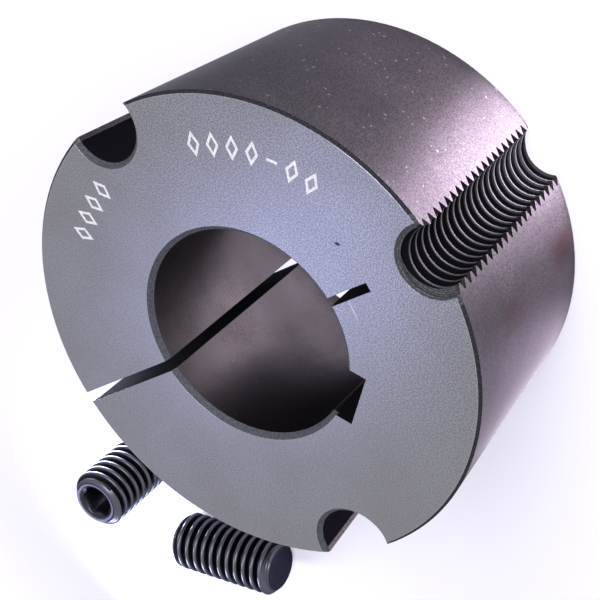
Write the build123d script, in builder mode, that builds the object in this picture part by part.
"""Split taper bush with its two set screws, for clamping a keyed hub on a shaft.

Frame: the bush stands on its small end, its bore axis is Z, and Z = 0 is the small end face.
The jacking half-hole faces -Y and the clamping split faces +Y. Sizes are in millimetres.
"""
import os
from math import cos, radians, sin, tan

from build123d import *

os.makedirs("parts", exist_ok=True)

# Bush body
large_end_dia = 85.725
bush_length = 44.45
taper_angle = 4.0  # per side, so 8 degrees included
rim_chamfer = 0.5
foot_chamfer = 0.6

# Bore, keyway and the two cuts that let the bush close on the shaft
bore_dia = 38.0
bore_chamfer = 0.9
keyway_width = 10.0
keyway_depth = 3.3  # above the bore wall, on the keyway's centre line
keyway_angle = -140.0
split_width = 2.0
split_angle = 90.0
relief_width = 1.6
relief_depth = 9.2  # from the bore wall outwards
relief_angle = -90.0

# Half-holes for the screws, on one circle that lies just inside the rim
screw_circle_dia = 82.55
jack_angle = -90.0
seat_spread = 95.0  # from the jacking half-hole round to each plain one
seat_clearance = 0.15  # round the screw
seat_depth = 28.0
seat_mouth_chamfer = 0.8
drill_point_angle = 118.0
jack_mouth_chamfer = 1.45

# Set screws, 12 threads to the inch
screw_dia = 12.7
screw_length = 25.4
threads_per_inch = 12
thread_height_share = 0.64  # of the pitch, for the 55 degree form
thread_flat_share = 0.16  # of the pitch, left at the crest and at the root
groove_run_on = 0.2  # share of the V's height that the cutter runs on past the crests
screw_end_chamfer = 1.4
socket_flats = 6.35
socket_depth = 7.0
socket_mouth = 0.4  # bevel round the socket's corners

# Where the two screws wait beside the bush
standing_screw_x = -26.5
standing_screw_y = 83.0
lying_screw_x = -60.4
lying_screw_y = 65.3  # of its plain tip
lying_screw_angle = 60.0  # the way its socket faces

# Sizes that follow from those above
large_end_radius = large_end_dia / 2
taper = tan(radians(taper_angle))
small_end_radius = large_end_radius - (bush_length - rim_chamfer) * taper
bore_radius = bore_dia / 2
screw_radius = screw_dia / 2
thread_pitch = 25.4 / threads_per_inch
thread_height = thread_height_share * thread_pitch
screw_root_radius = screw_radius - thread_height
groove_root = thread_flat_share * thread_pitch / 2
groove_crest = (1 - thread_flat_share) * thread_pitch / 2
groove_over = thread_height * groove_run_on
groove_mouth = groove_crest + (groove_crest - groove_root) * groove_run_on
socket_corner = socket_flats / 2 / cos(radians(30))
seat_radius = screw_radius + seat_clearance
screw_circle_radius = screw_circle_dia / 2
over = 1.0  # how far a cut runs past the metal


def end_slot(width, inner, outer, angle):
    """A straight-sided slot in the end view, along the radius at this angle."""
    with PolarLocations((inner + outer) / 2, 1, start_angle=angle):
        Rectangle(outer - inner, width)


def half_hole(angle, radius, mouth_chamfer, depth, point_angle):
    """A hole sunk from the large end on the screw circle, half of it outside the metal."""
    x = screw_circle_radius * cos(radians(angle))
    y = screw_circle_radius * sin(radians(angle))
    point = radius / tan(radians(point_angle / 2))
    with BuildSketch(Plane(origin=(x, y, bush_length), x_dir=(1, 0, 0), z_dir=(0, -1, 0))) as drill:
        with BuildLine():
            Polyline(
                (0, over),
                (radius + mouth_chamfer, over),
                (radius + mouth_chamfer, 0),
                (radius, -mouth_chamfer),
                (radius, -depth),
                (0, -depth - point),
                close=True,
            )
        make_face()
    revolve(drill.sketch, axis=Axis((x, y, 0), (0, 0, 1)), mode=Mode.SUBTRACT)


# Thread cutter for the jacking half-hole: one V groove wound along Z, cut from inside
with BuildPart() as jack_groove:
    with BuildLine():
        jack_helix = Helix(thread_pitch, bush_length + 2 * thread_pitch, screw_root_radius)
    with BuildSketch(Plane(jack_helix @ 0, x_dir=(1, 0, 0), z_dir=jack_helix % 0)):
        with BuildLine():
            Polyline(
                (-groove_over, -groove_mouth),
                (thread_height, -groove_root),
                (thread_height, groove_root),
                (-groove_over, groove_mouth),
                close=True,
            )
        make_face()
    sweep(is_frenet=True)


# The bush: a turned and bored cone, slotted right through, then drilled from the large end
with BuildPart() as taper_bush:
    with BuildSketch(Plane.XZ):
        with BuildLine():
            Polyline(
                (bore_radius, bore_chamfer),
                (bore_radius + bore_chamfer, 0),
                (small_end_radius - foot_chamfer, 0),
                (small_end_radius + foot_chamfer * taper, foot_chamfer),
                (large_end_radius, bush_length - rim_chamfer),
                (large_end_radius - rim_chamfer, bush_length),
                (bore_radius + bore_chamfer, bush_length),
                (bore_radius, bush_length - bore_chamfer),
                close=True,
            )
        make_face()
    revolve(axis=Axis.Z)

    with BuildSketch(Plane.XY.offset(-over)):
        end_slot(keyway_width, bore_radius / 2, bore_radius + keyway_depth, keyway_angle)
        end_slot(split_width, bore_radius / 2, large_end_radius + over, split_angle)
        end_slot(relief_width, bore_radius / 2, bore_radius + relief_depth, relief_angle)
    extrude(amount=bush_length + 2 * over, mode=Mode.SUBTRACT)

    for side in (-1, 1):
        half_hole(
            jack_angle + side * seat_spread,
            seat_radius,
            seat_mouth_chamfer,
            seat_depth,
            drill_point_angle,
        )
    with PolarLocations(screw_circle_radius, 1, start_angle=jack_angle):
        with Locations((0, 0, -thread_pitch)):
            add(jack_groove.part, mode=Mode.SUBTRACT)
    half_hole(
        jack_angle,
        screw_root_radius,
        jack_mouth_chamfer,
        bush_length + over,
        drill_point_angle,
    )

taper_bush.part.label = "taper_bush"
export_step(taper_bush.part, "parts/taper_bush.step")


# One set screw on its own axis, tip on Z = 0, from which both loose screws are placed
with BuildPart() as set_screw:
    with BuildSketch(Plane.XZ):
        with BuildLine():
            Polyline(
                (0, 0),
                (screw_radius - screw_end_chamfer, 0),
                (screw_radius, screw_end_chamfer),
                (screw_radius, screw_length - screw_end_chamfer),
                (screw_radius - screw_end_chamfer, screw_length),
                (0, screw_length),
                close=True,
            )
        make_face()
    revolve(axis=Axis.Z)
    with BuildSketch(Plane.XY.offset(screw_length)):
        RegularPolygon(socket_corner, 6)
    extrude(amount=-socket_depth, mode=Mode.SUBTRACT)
    with BuildSketch(Plane.XZ):
        with BuildLine():
            Polyline(
                (0, screw_length + over),
                (socket_corner + socket_mouth + over, screw_length + over),
                (socket_corner - socket_mouth, screw_length - 2 * socket_mouth),
                (0, screw_length - 2 * socket_mouth),
                close=True,
            )
        make_face()
    revolve(axis=Axis.Z, mode=Mode.SUBTRACT)

with BuildPart() as standing_set_screw:
    with Locations((standing_screw_x, standing_screw_y, 0)):
        add(set_screw.part)

standing_set_screw.part.label = "standing_set_screw"
export_step(standing_set_screw.part, "parts/standing_set_screw.step")

lying_axis = (cos(radians(lying_screw_angle)), sin(radians(lying_screw_angle)), 0)
with BuildPart() as lying_set_screw:
    with Locations(Plane((lying_screw_x, lying_screw_y, screw_radius), (0, 0, 1), lying_axis)):
        add(set_screw.part)

lying_set_screw.part.label = "lying_set_screw"
export_step(lying_set_screw.part, "parts/lying_set_screw.step")
